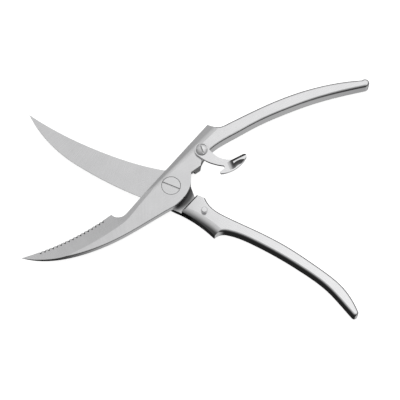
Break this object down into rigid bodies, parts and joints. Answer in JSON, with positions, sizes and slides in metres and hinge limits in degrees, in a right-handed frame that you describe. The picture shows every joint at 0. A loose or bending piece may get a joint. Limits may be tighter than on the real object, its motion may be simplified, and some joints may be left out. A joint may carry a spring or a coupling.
{
  "type": "poultry shears",
  "caption": "All-steel spring-loaded poultry shears with curved blades, saw edge, bone notch and a swinging latch that locks the handles.",
  "frame": {"origin": "on the pivot axis, in the plane of the levers' rear faces, which the shears lie on", "axes": "+X to the handles and -X to the blade tips, +Z along the pivot axis to the front face with the latch, +Y to the side of the front lever's handle; the shears stand open at rest"},
  "size_m": [0.2235, 0.1615, 0.0136],
  "materials": {
    "forged_steel_front": "satin ground blade, polished handle",
    "forged_steel_rear": "satin ground blade, polished handle",
    "latch_steel": "polished",
    "screw_steel": "turned and polished",
    "pin_steel": "ground",
    "washer_steel": "plain",
    "spring_steel": "drawn wire"
  },
  "bodies": {
    "rear": {"rear_lever": "forged_steel_rear", "pivot_screw": "screw_steel", "pivot_nut": "screw_steel", "pivot_lock_washer": "washer_steel", "torsion_spring": "spring_steel", "opening_stop_pin": "pin_steel", "catch_pin": "pin_steel"},
    "front": {"front_lever": "forged_steel_front", "latch_screw": "screw_steel", "latch_spring_washer": "washer_steel"},
    "latch": {"latch": "latch_steel"}
  },
  "joints": [
    {"name": "main_pivot", "type": "hinge", "parent": "rear", "child": "front", "pos_m": [0, 0, 0.00475], "axis": [0, 0, -1], "range_deg": [0, 57], "stiffness_Nm_per_rad": 0.6, "springref_deg": -28.65, "deforming": ["torsion_spring"]},
    {"name": "latch_pivot", "type": "hinge", "parent": "front", "child": "latch", "pos_m": [0.0196, 0.0239, 0.0106], "axis": [0, 0, 1], "range_deg": [-19, 30]}
  ]
}
